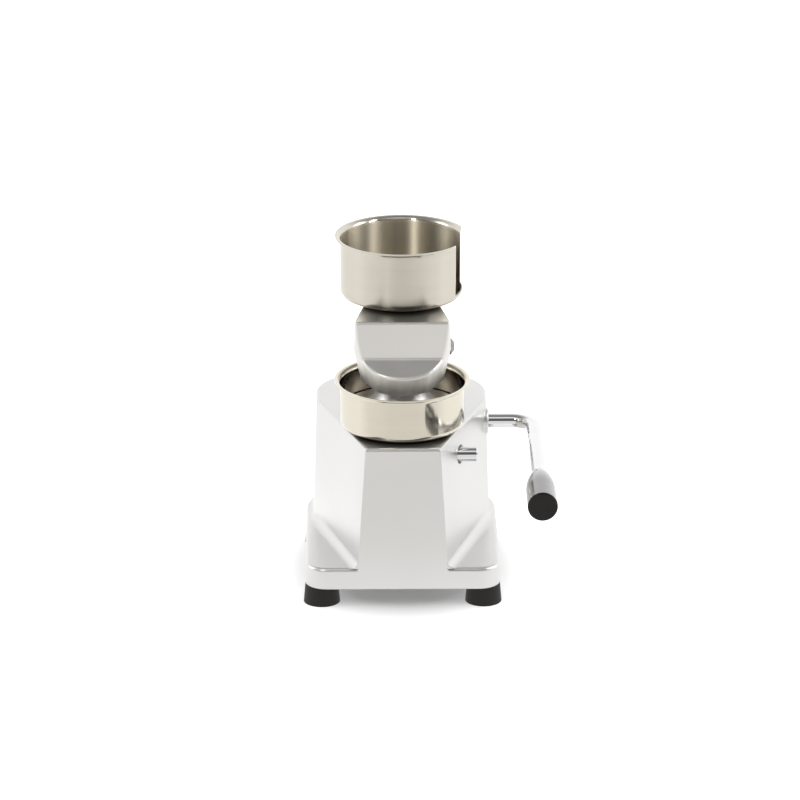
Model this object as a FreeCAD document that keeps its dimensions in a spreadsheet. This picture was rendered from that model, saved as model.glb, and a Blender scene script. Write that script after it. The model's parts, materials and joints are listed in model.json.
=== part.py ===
"""Manual burger press: a hollow wedge casting, a bowl, a press arm worked by a side lever, and an ejector.

Frame: the origin lies on the table at the middle of the footprint, +X to the lever's side, -Y to the front, +Z up.
Sizes are measured from the bowl's axis, and Piece.place moves every body from there to the footprint's middle.
"""
import FreeCAD, Part
import math
import os
import re

import Sketcher

# Driving dimensions, in millimetres and degrees
SIZES = {
    # plinth and tower of the casting
    "plinth_half": 80.0,
    "plinth_front": 59.0,
    "plinth_back": 130.0,
    "plinth_top": 35.0,
    "plinth_corner": 18.0,
    "plinth_rear_corner": 45.0,
    "plinth_edge": 3.0,
    "panel_half_low": 36.9,
    "panel_half_top": 30.3,
    "tower_back": 125.0,
    "tower_half_low": 74.3,
    "tower_half_top": 71.0,
    "tower_corner": 42.0,
    "shoulder_y": 60.0,
    "shoulder_radius": 20.0,
    "tower_edge": 2.5,
    "deck_top": 139.4,
    "deck_thick": 5.0,
    "casting_wall": 4.0,
    # rubber feet
    "foot_high": 17.0,
    "foot_top_radius": 13.5,
    "foot_low_radius": 15.0,
    "foot_side": 66.5,
    "foot_front": 41.0,
    "foot_rear": 90.0,
    "foot_recess_radius": 6.0,
    "foot_recess_deep": 9.0,
    "foot_screw_radius": 2.5,
    "foot_screw_head": 4.5,
    "foot_screw_head_high": 3.0,
    "foot_boss_radius": 8.0,
    # bowl and paper holder
    "bowl_radius": 50.0,
    "bowl_high": 39.7,
    "sheet_wall": 1.2,
    "sheet_corner": 6.0,
    "rim_flare": 5.0,
    "rim_lip": 0.4,
    "holder_radius": 49.4,
    "holder_high": 51.4,
    "holder_axis": 56.0,
    "holder_opening_plane": 46.9,
    "holder_opening_foot": 6.4,
    "holder_opening_turn": 7.5,
    "holder_screw_side": 14.0,
    "bowl_screw_circle": 30.0,
    "small_screw_radius": 2.0,
    "small_screw_head": 4.0,
    "small_screw_head_high": 1.6,
    "small_screw_long": 9.0,
    # ejector in the bowl
    "ejector_gap": 0.8,
    "ejector_thick": 2.6,
    "ejector_bevel": 3.0,
    "ejector_edge": 0.5,
    "rod_radius": 4.0,
    "bush_wall": 3.0,
    "bush_flange": 3.0,
    "bush_flange_thick": 1.5,
    "guide_bush_long": 16.0,
    "running_gap": 0.05,
    "fit_gap": 0.02,
    "side_gap": 0.5,
    # lever with its shaft
    "bar_radius": 6.0,
    "lever_axis_y": 61.0,
    "lever_axis_z": 119.5,
    "lever_elbow_x": 110.0,
    "lever_bend": 18.0,
    "lever_end_y": 125.5,
    "lever_boss_out": 1.2,
    "lever_boss_set": 5.2,
    "lever_boss_inner": 46.0,
    "lever_boss_radius": 11.0,
    "lever_flare": 12.0,
    "lever_flare_run": 10.4,
    "lever_boss_lip": 2.0,
    "shaft_bush_wall": 2.0,
    "grip_long": 67.0,
    "grip_end_y": 137.5,
    "grip_near_radius": 7.7,
    "grip_far_radius": 12.1,
    "grip_edge": 1.5,
    "grip_swell": 35.0,
    "collar_radius": 10.0,
    "collar_long": 8.0,
    # swing of the press and its linkage
    "pivot_y": 98.0,
    "pivot_z": 163.0,
    "pivot_radius": 6.0,
    "pivot_head_radius": 9.0,
    "pivot_head_long": 4.0,
    "ear_radius": 13.0,
    "ear_thick": 10.0,
    "ear_foot_half": 18.0,
    "arm_tail_half": 23.5,
    "swing": 75.0,
    "drive_crank_long": 24.0,
    "drive_crank_rest": 5.0,
    "link_pin_radius": 4.0,
    "link_end_radius": 7.5,
    "link_half": 4.5,
    "link_thick": 5.0,
    "lug_half": 6.0,
    "crank_hub_radius": 10.5,
    "slot_front": 84.0,
    "slot_gap": 1.5,
    # ejector shaft and its rocker
    "ejector_axis_y": -11.0,
    "ejector_axis_z": 116.8,
    "ejector_stub_out": 14.0,
    "ejector_stub_edge": 1.0,
    "ejector_boss_set": 4.6,
    "ejector_boss_in": 4.0,
    "ejector_boss_inner": 29.0,
    "ejector_boss_radius": 10.0,
    "ejector_crank_long": 16.0,
    "ejector_crank_rest": 48.0,
    "finger_long": 18.0,
    "lift_pin_radius": 3.0,
    "lift_slot_gap": 0.6,
    "yoke_thick": 4.0,
    "yoke_wall": 2.4,
    "yoke_hub_radius": 9.0,
    "yoke_hub_high": 12.0,
    "yoke_hub_drop": 21.0,
    "rocker_thick": 8.0,
    # press arm
    "arm_half": 39.0,
    "arm_front": 43.7,
    "arm_wide_y": 8.0,
    "arm_cheek": 14.0,
    "arm_nose_set": 5.6,
    "arm_nose_radius": 59.0,
    "arm_corner_radius": 27.0,
    "arm_narrow_y": 78.0,
    "arm_parting_z": 209.0,
    "arm_draft_up": 0.04,
    "arm_draft_down": 0.22,
    "arm_crown": 24.4,
    "arm_brow_y": 16.5,
    "arm_break_y": 22.0,
    "arm_break_drop": 5.5,
    "arm_chin_slope": 0.639,
    "arm_belly": 21.8,
    "arm_sole_slope": 0.294,
    "arm_sole_back": 58.0,
    "arm_throat_y": 80.0,
    "arm_throat_z": 170.0,
    "arm_back_y": 106.0,
    "arm_back_set": 6.0,
    "arm_edge": 2.0,
    # press plate, with its stem and cross bolt
    "plate_gap": 1.5,
    "plate_low_z": 151.0,
    "plate_edge": 4.0,
    "plate_crown": 1.0,
    "plate_chamfer": 1.5,
    "hub_radius": 20.0,
    "hub_flare": 20.0,
    "hub_top_z": 181.0,
    "stem_radius": 12.0,
    "stem_over": 9.0,
    "bolt_drop": 2.0,
    "bolt_radius": 4.0,
    "bolt_head_radius": 7.0,
    "bolt_head_long": 4.0,
    "bolt_sink": 0.4,
    "bolt_end": 26.0,
}

# Dimensions that follow from the driving ones
DERIVED = {
    "arm_nose_half": "arm_half - arm_cheek",
    "arm_top_z": "arm_parting_z + arm_crown",
    "arm_sole_z": "arm_parting_z - arm_belly",
}

doc = FreeCAD.newDocument("burger_press")
sheet = doc.addObject("Spreadsheet::Sheet", "Sheet")
for row, (alias, number) in enumerate([*SIZES.items(), *DERIVED.items()], start=1):
    sheet.set(f"A{row}", alias)
    sheet.set(f"B{row}", f"={number}" if alias in DERIVED else str(number))
    sheet.setAlias(f"B{row}", alias)
doc.recompute()

NAMES = re.compile(r"\b(" + "|".join(sorted([*SIZES, *DERIVED], key=len, reverse=True)) + r")\b")
FOOTPRINT_MIDDLE = ("(lever_elbow_x + grip_far_radius - foot_side - foot_low_radius) / 2",
                    "(plinth_back - grip_end_y) / 2", "0")
NODES = []


def tie(text):
    """Write an expression on the sheet's cells from plain size names."""
    return NAMES.sub(r"Sheet.\1", str(text))


def value(text):
    """The number that an expression has now."""
    result = sheet.evalExpression(tie(text))
    return float(getattr(result, "Value", result))


def arc_between(start, end, radius, turn):
    """The arc of less than half a turn from start to end; turn is 1 for leftwards and -1 for rightwards."""
    chord = end - start
    height = math.sqrt(max(radius ** 2 - (chord.Length / 2) ** 2, 0.0))
    left = FreeCAD.Vector(-chord.y, chord.x, 0).normalize()
    centre = (start + end) * 0.5 + left * (height * turn)
    first, last = (start, end) if turn > 0 else (end, start)
    angles = [math.atan2(p.y - centre.y, p.x - centre.x) for p in (first, last)]
    if angles[1] <= angles[0]:
        angles[1] += 2 * math.pi
    return Part.ArcOfCircle(Part.Circle(centre, FreeCAD.Vector(0, 0, 1), radius), *angles)


def draw(sketch, outline, closed=True):
    """Draw one outline: its corners are pinned to expressions, and a corner with a radius starts an arc."""
    corners = [FreeCAD.Vector(value(c[0]), value(c[1]), 0) for c in outline]
    count = len(outline) if closed else len(outline) - 1
    ends = []
    for i in range(count):
        start, end = corners[i], corners[(i + 1) % len(corners)]
        if len(outline[i]) == 2:
            ends.append((sketch.addGeometry(Part.LineSegment(start, end)), 1, 2))
        else:
            radius, turn = outline[i][2:]
            shape = sketch.addGeometry(arc_between(start, end, value(radius), turn))
            ends.append((shape, 1, 2) if turn > 0 else (shape, 2, 1))
            index = sketch.addConstraint(Sketcher.Constraint("Radius", shape, value(radius)))
            sketch.setExpression(f"Constraints[{index}]", tie(radius))
    for i in range(count if closed else count - 1):
        shape, _, last = ends[i]
        following, first, _ = ends[(i + 1) % count]
        sketch.addConstraint(Sketcher.Constraint("Coincident", shape, last, following, first))
    for i, corner in enumerate(outline):
        shape, place = ends[i][:2] if i < count else (ends[-1][0], ends[-1][2])
        for kind, text, number in (("DistanceX", corner[0], corners[i].x), ("DistanceY", corner[1], corners[i].y)):
            if str(text) == "0":
                axis = -2 if kind == "DistanceX" else -1
                sketch.addConstraint(Sketcher.Constraint("PointOnObject", shape, place, axis))
                continue
            index = sketch.addConstraint(Sketcher.Constraint(kind, -1, 1, shape, place, number))
            sketch.setExpression(f"Constraints[{index}]", tie(text))


def draw_circle(sketch, across, up, radius):
    """Draw one circle with its centre and radius pinned to expressions."""
    centre = FreeCAD.Vector(value(across), value(up), 0)
    shape = sketch.addGeometry(Part.Circle(centre, FreeCAD.Vector(0, 0, 1), value(radius)))
    pins = [("DistanceX", across, centre.x), ("DistanceY", up, centre.y)]
    for kind, text, number in pins:
        if str(text) == "0":
            axis = -2 if kind == "DistanceX" else -1
            sketch.addConstraint(Sketcher.Constraint("PointOnObject", shape, 3, axis))
            continue
        index = sketch.addConstraint(Sketcher.Constraint(kind, -1, 1, shape, 3, number))
        sketch.setExpression(f"Constraints[{index}]", tie(text))
    index = sketch.addConstraint(Sketcher.Constraint("Radius", shape, value(radius)))
    sketch.setExpression(f"Constraints[{index}]", tie(radius))


class Piece:
    """A sub-part made as one body, whose features are added in the order in which it would be made."""

    def __init__(self, label, alone=True):
        self.label = label
        self.body = doc.addObject("PartDesign::Body", label)
        self.body.Label = label
        self.place()
        if alone:
            NODES.append(self.body)

    def feature(self, kind):
        return self.body.newObject(kind, f"{self.label}_{kind.split('::')[1].lower()}")

    def sketch(self, plane, outlines, level="0", closed=True, side="0"):
        """A sketch on one of the body's planes, moved along that plane's axis to a level, and along its own V axis."""
        sketch = self.feature("Sketcher::SketchObject")
        support = [f for f in self.body.Origin.OriginFeatures if f.Role == f"{plane}_Plane"][0]
        sketch.AttachmentSupport = [(support, "")]
        sketch.MapMode = "FlatFace"
        sign = "-" if plane == "XZ" else ""
        sketch.setExpression("AttachmentOffset.Base.z", f"{sign}({tie(level)})")
        sketch.setExpression("AttachmentOffset.Base.y", tie(side))
        for outline in outlines:
            if outline[0] == "circle":
                draw_circle(sketch, *outline[1:])
            else:
                draw(sketch, outline, closed)
        return sketch

    def pad(self, plane, outlines, start, end):
        """Add what lies between two levels along the plane's axis."""
        pad = self.feature("PartDesign::Pad")
        pad.Profile = self.sketch(plane, outlines, start)
        pad.setExpression("Length", f"{tie(end)} - ({tie(start)})")
        pad.Reversed = plane == "XZ"
        return self

    def pocket(self, plane, outlines, start, end):
        """Cut away what lies between two levels along the plane's axis, and check that something went."""
        doc.recompute()
        before = self.body.Shape.Volume
        pocket = self.feature("PartDesign::Pocket")
        pocket.Profile = self.sketch(plane, outlines, start)
        pocket.setExpression("Length", f"{tie(end)} - ({tie(start)})")
        pocket.Reversed = plane != "XZ"
        doc.recompute()
        if not self.body.Shape.Volume < before:
            raise RuntimeError(f"{self.label}: {pocket.Name} cuts nothing")
        return self

    def loft(self, sections, cut=False):
        """Add or cut a ruled loft through outlines at levels along Z."""
        sketches = [self.sketch("XY", [outline], level) for outline, level in sections]
        loft = self.feature("PartDesign::SubtractiveLoft" if cut else "PartDesign::AdditiveLoft")
        loft.Profile = sketches[0]
        loft.Sections = sketches[1:]
        loft.Ruled = True
        return self

    def revolve(self, plane, outline, axis, level="0", side="0"):
        """Turn an outline round one of its sketch's own axes."""
        profile = self.sketch(plane, [outline], level, side=side)
        turn = self.feature("PartDesign::Revolution")
        turn.Profile = profile
        turn.ReferenceAxis = (profile, [axis])
        turn.Angle = 360.0
        return self

    def fillet(self, radius, choose):
        """Round the edges of the body so far that choose picks."""
        doc.recompute()
        base = self.body.Tip
        edges = [f"Edge{i}" for i, edge in enumerate(base.Shape.Edges, start=1) if choose(edge)]
        fillet = self.feature("PartDesign::Fillet")
        fillet.Base = (base, edges)
        fillet.setExpression("Radius", tie(radius))
        return self

    def place(self, x="0", y="0", z="0", turn=None):
        """Put the body in its place, given from the bowl's axis, turned about X by an angle in degrees."""
        if turn is not None:
            self.body.Placement = FreeCAD.Placement(FreeCAD.Vector(), FreeCAD.Vector(1, 0, 0), value(turn))
            self.body.setExpression("Placement.Rotation.Angle", tie(turn))
        for axis, text, middle in zip("xyz", (x, y, z), FOOTPRINT_MIDDLE):
            self.body.setExpression(f"Placement.Base.{axis}", tie(f"{text} - ({middle})"))
        return self


def group(label, members):
    """Several separate solids that make one node, such as a set of screws."""
    compound = doc.addObject("Part::Compound", label)
    compound.Label = label
    compound.Links = members
    NODES.append(compound)


def rectangle(left, right, low, high):
    return [(left, low), (right, low), (right, high), (left, high)]


def bar_outline(long, radius):
    """A bar with round ends, from the centre of one end at the origin to the other along the first axis."""
    return [("0", f"-({radius})"), (long, f"-({radius})", radius, 1), (f"{long} + {radius}", "0", radius, 1),
            (long, radius), ("0", radius, radius, 1), (f"-({radius})", "0", radius, 1)]


def plinth_outline(inset):
    """The plinth's plan: straight sides, small round corners in front and large ones at the rear."""
    front, back, half = f"-plinth_front + {inset}", f"plinth_back - {inset}", f"(plinth_half - {inset})"
    near, far = f"(plinth_corner - {inset})", f"(plinth_rear_corner - {inset})"
    return [(f"-{half} + {near}", front), (f"{half} - {near}", front, near, 1), (half, f"{front} + {near}"),
            (half, f"{back} - {far}", far, 1), (f"{half} - {far}", back), (f"-{half} + {far}", back, far, 1),
            (f"-{half}", f"{back} - {far}"), (f"-{half}", f"{front} + {near}", near, 1)]


def tower_outline(panel_half, back_half, inset):
    """The tower's plan: a narrow front, flanks that open to a rounded shoulder, straight sides and round rear corners."""
    front = f"-plinth_front + {inset}"
    back = f"tower_back - {inset}"
    near = f"({panel_half} - {inset})"
    far = f"({back_half} - {inset})"
    lean = f"atan(({far} - {near}) / (shoulder_y - ({front})))"
    bend, corner = "shoulder_radius", f"(tower_corner - {inset})"
    run = f"{bend} * tan(({lean}) / 2)"
    bend_x, bend_y = f"({far} - {run} * sin({lean}))", f"shoulder_y - {run} * cos({lean})"
    right = [(near, front), (bend_x, bend_y, bend, 1), (far, f"shoulder_y + {run}"),
             (far, f"{back} - {corner}", corner, 1), (f"({far} - {corner})", back)]
    left = [(f"-{far} + {corner}", back, corner, 1), (f"-{far}", f"{back} - {corner}"),
            (f"-{far}", f"shoulder_y + {run}", bend, 1), (f"-{bend_x}", bend_y), (f"-{near}", front)]
    return right + left


def cup_outline(radius, low, high, hole):
    """Half the section of a spun sheet cup with a round bottom corner, a flared rim and a hole in its floor."""
    outer = f"{radius} + sheet_wall"
    flare = f"{high} - rim_flare"
    return [(hole, low), (f"{outer} - sheet_corner", low, "sheet_corner", 1),
            (outer, f"{low} + sheet_corner"), (outer, flare, "rim_flare - sheet_wall", -1),
            (f"{radius} + rim_flare", f"{high} - sheet_wall"),
            (f"{radius} + rim_flare + rim_lip", f"{high} - sheet_wall"),
            (f"{radius} + rim_flare + rim_lip", high), (f"{radius} + rim_flare", high, "rim_flare", 1),
            (radius, flare), (radius, f"{low} + sheet_corner", "sheet_corner - sheet_wall", -1),
            (f"{radius} - sheet_corner + sheet_wall", f"{low} + sheet_wall"), (hole, f"{low} + sheet_wall")]


def arm_plan(inset):
    """The press arm's plan: a round nose, its widest place behind it, and sides that close to the tail."""
    wide = f"(arm_half - {inset})"
    tail = f"(arm_tail_half - {inset})"
    nose = f"(arm_nose_half - {inset} / 2)"
    nose_y = f"-arm_front + arm_nose_set + {inset}"
    wide_y = f"-arm_wide_y + {inset} / 2"
    end = "pivot_y + ear_radius"
    return [(nose, nose_y, "arm_corner_radius", 1), (wide, wide_y), (tail, "arm_narrow_y"), (tail, end),
            (f"-{tail}", end), (f"-{tail}", "arm_narrow_y"), (f"-{wide}", wide_y, "arm_corner_radius", 1),
            (f"-{nose}", nose_y, "arm_nose_radius", 1)]


def flank_x(y, z):
    """Half the tower's outer width where a shaft at this place and height goes through its flank or its side."""
    rise = f"(({z} - plinth_top + plinth_edge) / (deck_top - plinth_top + plinth_edge))"
    near = f"(panel_half_low + (panel_half_top - panel_half_low) * {rise})"
    far = f"(tower_half_low + (tower_half_top - tower_half_low) * {rise})"
    return f"({near} + ({far} - {near}) * min(1; ({y} + plinth_front) / (shoulder_y + plinth_front)))"


LEVER_FLANK = flank_x("lever_axis_y", "lever_axis_z")
LEVER_BOSS_END = f"({LEVER_FLANK} + lever_boss_out)"
LEVER_BOSS_BLIND = f"({LEVER_FLANK} - lever_boss_set)"
LEVER_SHAFT_END = f"({LEVER_FLANK} - lever_boss_set - casting_wall)"
EJECTOR_FLANK = flank_x("ejector_axis_y", "ejector_axis_z")
EJECTOR_BOSS_END = f"({EJECTOR_FLANK} - ejector_boss_in)"
EJECTOR_STUB_END = f"({EJECTOR_FLANK} + ejector_stub_out)"
EJECTOR_BOSS_BLIND = f"({EJECTOR_FLANK} - ejector_boss_set)"
EJECTOR_SHAFT_END = f"({EJECTOR_FLANK} - ejector_boss_set - casting_wall / 2)"
ARM_BREAK_Z = "(arm_parting_z - arm_break_drop)"
BOLT_Z = "(arm_parting_z - bolt_drop)"
BOLT_SEAT = "(arm_half - bolt_sink)"
STEM_TOP = f"({BOLT_Z} + stem_over)"
DECK_UNDER = "deck_top - deck_thick"
BOWL_FLOOR = "deck_top + sheet_wall"
BUSH_RADIUS = "(rod_radius + bush_wall)"
SHAFT_BUSH = "(bar_radius + shaft_bush_wall)"
HOLDER_LOW = "arm_top_z"
EAR_NEAR = "(arm_tail_half + side_gap)"
EAR_FAR = "(arm_tail_half + side_gap + ear_thick)"
DRIVE_PIN = ("drive_crank_long * cos(drive_crank_rest)", "-drive_crank_long * sin(drive_crank_rest)")
EJECTOR_PIN = ("ejector_crank_long * cos(ejector_crank_rest)", "-ejector_crank_long * sin(ejector_crank_rest)")
FINGER_Y = "finger_long * cos(swing / 2)"
FINGER_Z = "finger_long * sin(swing / 2)"
LINK_NEAR = "(lug_half + side_gap)"
LINK_FAR = "(lug_half + side_gap + link_thick)"
YOKE_NEAR = "yoke_hub_radius"
YOKE_FAR = "(yoke_hub_radius + yoke_thick)"
ROCKER_NEAR = "(yoke_hub_radius + yoke_thick + 2 * side_gap)"
ROCKER_FAR = "(yoke_hub_radius + yoke_thick + 2 * side_gap + rocker_thick)"
ROD_LINK_FAR = "(yoke_hub_radius + yoke_thick + 3 * side_gap + rocker_thick + link_thick)"
PIN_Z_REST = "(ejector_axis_z - finger_long * sin(swing / 2))"
FOOT_PLACES = {"front_left": ("-foot_side", "-foot_front"), "front_right": ("foot_side", "-foot_front"),
               "rear_left": ("-foot_side", "foot_rear"), "rear_right": ("foot_side", "foot_rear")}
BOWL_SCREW_TURNS = (90, 210, 330)


def body_casting():
    """The hollow tower on its plinth, with the deck, the pivot ears, the shaft bosses and the foot bosses."""
    piece = Piece("body_casting")
    piece.pad("XY", [plinth_outline("0")], "foot_high", "plinth_top")
    rim = value("plinth_top")
    piece.fillet("plinth_edge", lambda edge: edge.BoundBox.ZMin > rim - 0.01
                 and edge.BoundBox.YMax > value("plinth_corner - plinth_front") - 0.01)
    piece.loft([(tower_outline("panel_half_low", "tower_half_low", "0"), "plinth_top - plinth_edge"),
                (tower_outline("panel_half_top", "tower_half_top", "0"), "deck_top")])
    top = value("deck_top")
    piece.fillet("tower_edge", lambda edge: edge.BoundBox.ZMin > top - 0.01)
    tip, lip = LEVER_BOSS_END, f"{LEVER_BOSS_END} - lever_boss_lip"
    root = f"{lip} - lever_flare_run"
    wide = "lever_boss_radius + lever_flare - sqrt(lever_flare ^ 2 - lever_flare_run ^ 2)"
    flare = [(root, "0"), (tip, "0"), (tip, "lever_boss_radius - lever_boss_lip / 2"),
             (f"{tip} - lever_boss_lip / 2", "lever_boss_radius"), (lip, "lever_boss_radius", "lever_flare", -1),
             (root, wide)]
    piece.revolve("XY", flare, "H_Axis", "lever_axis_z", "lever_axis_y")
    wall = "casting_wall"
    piece.pocket("XY", [plinth_outline("2 * casting_wall")], "foot_high", "plinth_top - casting_wall")
    piece.loft([(tower_outline("panel_half_low", "tower_half_low", wall), "plinth_top - 2 * casting_wall"),
                (tower_outline("panel_half_top", "tower_half_top", wall), DECK_UNDER)], cut=True)
    for x, y in FOOT_PLACES.values():
        piece.pad("XY", [("circle", x, y, "foot_boss_radius")], "foot_high", "plinth_top - casting_wall")
        piece.pocket("XY", [("circle", x, y, "foot_screw_radius + fit_gap")], "foot_high",
                     "plinth_top - 2 * casting_wall")
    shaft = ("circle", "lever_axis_y", "lever_axis_z")
    piece.pad("YZ", [shaft + ("lever_boss_radius",)], "lever_boss_inner", lip)
    piece.pad("YZ", [shaft + ("lever_boss_radius",)], f"-{LEVER_BOSS_BLIND}", "-lever_boss_inner")
    piece.pocket("YZ", [shaft + (f"{SHAFT_BUSH} + fit_gap",)], "lever_boss_inner", LEVER_BOSS_END)
    piece.pocket("YZ", [shaft + (f"{SHAFT_BUSH} + fit_gap",)], f"-{LEVER_SHAFT_END}", "-lever_boss_inner")
    shaft = ("circle", "ejector_axis_y", "ejector_axis_z")
    piece.pad("YZ", [shaft + ("ejector_boss_radius",)], "ejector_boss_inner", EJECTOR_BOSS_END)
    piece.pad("YZ", [shaft + ("ejector_boss_radius",)], f"-{EJECTOR_BOSS_BLIND}", "-ejector_boss_inner")
    piece.pocket("YZ", [shaft + (f"{SHAFT_BUSH} + fit_gap",)], "ejector_boss_inner", EJECTOR_STUB_END)
    piece.pocket("YZ", [shaft + (f"{SHAFT_BUSH} + fit_gap",)], f"-{EJECTOR_SHAFT_END}", "-ejector_boss_inner")
    foot = "deck_top - deck_thick / 2"
    ear = [("pivot_y - ear_foot_half", foot), ("pivot_y + ear_foot_half", foot),
           ("pivot_y + ear_radius", "pivot_z", "ear_radius", 1), ("pivot_y", "pivot_z + ear_radius", "ear_radius", 1),
           ("pivot_y - ear_radius", "pivot_z")]
    piece.pad("YZ", [ear], EAR_NEAR, EAR_FAR)
    piece.pad("YZ", [ear], f"-{EAR_FAR}", f"-{EAR_NEAR}")
    pivot = ("circle", "pivot_y", "pivot_z", "pivot_radius + fit_gap")
    piece.pocket("YZ", [pivot], f"-{EAR_FAR}", EAR_FAR)
    slot = rectangle("-lug_half - slot_gap", f"{LINK_FAR} + slot_gap", "slot_front", "tower_back - casting_wall")
    piece.pocket("XY", [slot], DECK_UNDER, "deck_top")
    piece.pocket("XY", [("circle", "0", "0", f"{BUSH_RADIUS} + fit_gap")], DECK_UNDER, "deck_top")
    screws = [("circle", f"bowl_screw_circle * cos({turn})", f"bowl_screw_circle * sin({turn})",
               "small_screw_radius + fit_gap") for turn in BOWL_SCREW_TURNS]
    piece.pocket("XY", screws, DECK_UNDER, "deck_top")


def cups():
    """The forming bowl on the deck, and the paper holder on the arm, with its tall opening on one side."""
    bowl = Piece("forming_bowl")
    bowl.revolve("XZ", cup_outline("bowl_radius", "deck_top", "deck_top + bowl_high", f"{BUSH_RADIUS} + fit_gap"), "V_Axis")
    screws = [("circle", f"bowl_screw_circle * cos({turn})", f"bowl_screw_circle * sin({turn})",
               "small_screw_radius + fit_gap") for turn in BOWL_SCREW_TURNS]
    bowl.pocket("XY", screws, "deck_top", "deck_top + sheet_wall")
    holder = Piece("paper_holder")
    outline = cup_outline("holder_radius", "0", "holder_high", "0")
    holder.revolve("XZ", outline[:-1] + [("0", "sheet_wall")], "V_Axis")
    reach = "(holder_radius + rim_flare + sheet_wall + rim_lip)"
    near, turn = "holder_opening_plane", "holder_opening_turn"
    opening = [(f"{a} * cos({turn}) + {b} * sin({turn})", f"{b} * cos({turn}) - {a} * sin({turn})")
               for a, b in ((near, f"-{reach}"), (f"2 * {reach}", f"-{reach}"), (f"2 * {reach}", reach), (near, reach))]
    holder.pocket("XY", [opening], "holder_opening_foot", "holder_high")
    screws = [("circle", f"{side}holder_screw_side", "0", "small_screw_radius + fit_gap") for side in ("", "-")]
    holder.pocket("XY", screws, "0", "sheet_wall")
    holder.place("0", "holder_axis", HOLDER_LOW)


def small_screws(label, places):
    """Pan-head screws that stand head up, each turned from one outline."""
    members = []
    for number, (x, y, z) in enumerate(places, start=1):
        screw = Piece(f"{label}_{number}", alone=False)
        screw.revolve("XZ", [("0", "-small_screw_long"), ("small_screw_radius", "-small_screw_long"),
                             ("small_screw_radius", "0"), ("small_screw_head", "0"),
                             ("small_screw_head", "small_screw_head_high / 2"),
                             ("small_screw_head / 2", "small_screw_head_high"), ("0", "small_screw_head_high")],
                      "V_Axis")
        screw.place(x, y, z)
        members.append(screw.body)
    group(label, members)


def ejector():
    """The ejector plate in the bowl, its rod through the guide bush, and the yoke that the lifting pin works in."""
    floor = f"{BOWL_FLOOR} + bush_flange_thick + side_gap / 2"
    edge = "bowl_radius - ejector_gap"
    plate = Piece("ejector_plate")
    top = f"{floor} + ejector_thick"
    plate.revolve("XZ", [("0", floor), (f"{edge} - ejector_bevel", floor), (edge, f"{floor} + ejector_bevel / 2"),
                         (edge, f"{top} - ejector_edge"), (f"{edge} - ejector_edge", top), ("0", top)], "V_Axis")
    low = f"{PIN_Z_REST} - yoke_hub_drop - yoke_hub_high"
    rod = Piece("ejector_rod")
    rod.revolve("XZ", [("0", low), ("rod_radius", low), ("rod_radius", floor), ("0", floor)], "V_Axis")
    bush = Piece("guide_bush")
    bore, outer, wide = "rod_radius + running_gap", BUSH_RADIUS, f"{BUSH_RADIUS} + bush_flange"
    bush.revolve("XZ", [(bore, "deck_top - guide_bush_long"), (outer, "deck_top - guide_bush_long"),
                        (outer, BOWL_FLOOR), (wide, BOWL_FLOOR), (wide, f"{BOWL_FLOOR} + bush_flange_thick"),
                        (bore, f"{BOWL_FLOOR} + bush_flange_thick")], "V_Axis")
    yoke = Piece("lift_yoke")
    slot_half = "(lift_pin_radius + lift_slot_gap)"
    deep = f"({slot_half} + yoke_wall)"
    front = "(ejector_axis_y - finger_long)"
    rear = f"(ejector_axis_y - {FINGER_Y})"
    yoke.pad("XY", [("circle", "0", "0", "yoke_hub_radius")], low, f"{low} + yoke_hub_high")
    web = rectangle("0", YOKE_FAR, f"{front} - {deep}", "0")
    yoke.pad("XY", [web], low, f"{low} + yoke_hub_high / 2")
    plate_side = rectangle(f"{front} - {deep}", f"{rear} + {deep}", low, f"{PIN_Z_REST} + {deep}")
    yoke.pad("YZ", [plate_side], YOKE_NEAR, YOKE_FAR)
    yoke.pocket("XY", [("circle", "0", "0", "rod_radius + fit_gap")], low, f"{low} + yoke_hub_high")
    slot = [(front, f"{PIN_Z_REST} - {slot_half}"), (rear, f"{PIN_Z_REST} - {slot_half}", slot_half, 1),
            (f"{rear} + {slot_half}", PIN_Z_REST, slot_half, 1), (rear, f"{PIN_Z_REST} + {slot_half}"),
            (front, f"{PIN_Z_REST} + {slot_half}", slot_half, 1), (f"{front} - {slot_half}", PIN_Z_REST, slot_half, 1)]
    yoke.pocket("YZ", [slot], YOKE_NEAR, YOKE_FAR)


def turned_along_x(label, outline, y, z):
    """A pin, bush or collar turned about an axis along X."""
    Piece(label).revolve("XZ", outline, "H_Axis").place("0", y, z)


def tube(left, right, bore, outer):
    return rectangle(left, right, bore, outer)


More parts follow.
